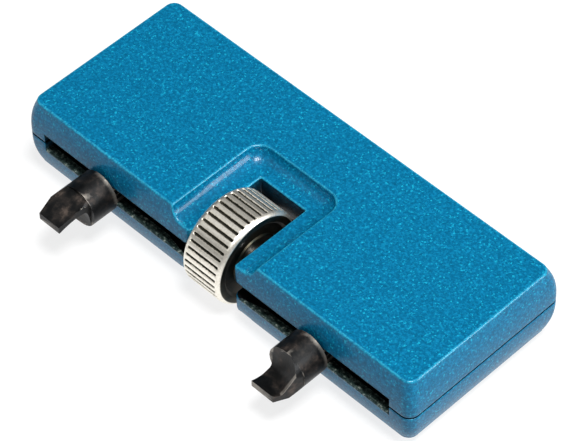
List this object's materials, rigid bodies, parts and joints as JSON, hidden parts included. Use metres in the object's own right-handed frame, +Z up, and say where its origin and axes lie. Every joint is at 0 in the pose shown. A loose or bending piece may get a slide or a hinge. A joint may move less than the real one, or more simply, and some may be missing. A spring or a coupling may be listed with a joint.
{
  "type": "case back opener",
  "caption": "Pocket case back opener: two opposed screwdriver-tipped jaws slide along a slot in a flat cast body, moved together by a knurled thumb wheel.",
  "frame": {"origin": "on the flat underside, on the middle plane across the body and behind the wheel opening", "axes": "+X runs along the body towards the right jaw, the jaws point towards -Y, +Z up out of the top face"},
  "size_m": [0.08, 0.0426, 0.0162],
  "materials": {
    "body_paint": "metallic blue flake paint on die-cast zinc, satin gloss",
    "nickel_plate": "warm nickel plating over straight knurling",
    "black_oxide": "black oxide with brown rubbed edges",
    "bright_steel": "turned bright steel",
    "screw_steel": "zinc-plated steel",
    "brass": "turned brass",
    "bronze": "sintered bearing bronze"
  },
  "bodies": {
    "body": {"top_shell": "body_paint", "bottom_shell": "body_paint", "left_end_bush": "bronze", "right_end_bush": "bronze", "left_thrust_washer": "bright_steel", "right_thrust_washer": "bright_steel", "left_rear_shell_screw": "screw_steel", "right_rear_shell_screw": "screw_steel", "left_front_shell_screw": "screw_steel", "right_front_shell_screw": "screw_steel", "left_dowel": "bright_steel", "right_dowel": "bright_steel"},
    "spindle": {"lead_screw": "bright_steel", "thumb_wheel": "nickel_plate", "wheel_grub_screw": "black_oxide"},
    "left_slider": {"left_jaw": "black_oxide", "left_jaw_nut": "brass"},
    "right_slider": {"right_jaw": "black_oxide", "right_jaw_nut": "brass"}
  },
  "joints": [
    {"name": "wheel_spin", "type": "hinge", "parent": "body", "child": "spindle", "pos_m": [0, -0.01855, 0.0063], "axis": [1, 0, 0], "range_deg": [-3059, 4049]},
    {"name": "left_jaw_slide", "type": "slide", "parent": "body", "child": "left_slider", "axis": [-1, 0, 0], "range_m": [-0.0068, 0.009]},
    {"name": "right_jaw_slide", "type": "slide", "parent": "body", "child": "right_slider", "axis": [1, 0, 0], "range_m": [-0.0068, 0.009]}
  ],
  "couplings": [
    {"joint": "left_jaw_slide", "follows": "wheel_spin", "m_per_rad": 0.00012732},
    {"joint": "right_jaw_slide", "follows": "wheel_spin", "m_per_rad": 0.00012732}
  ]
}
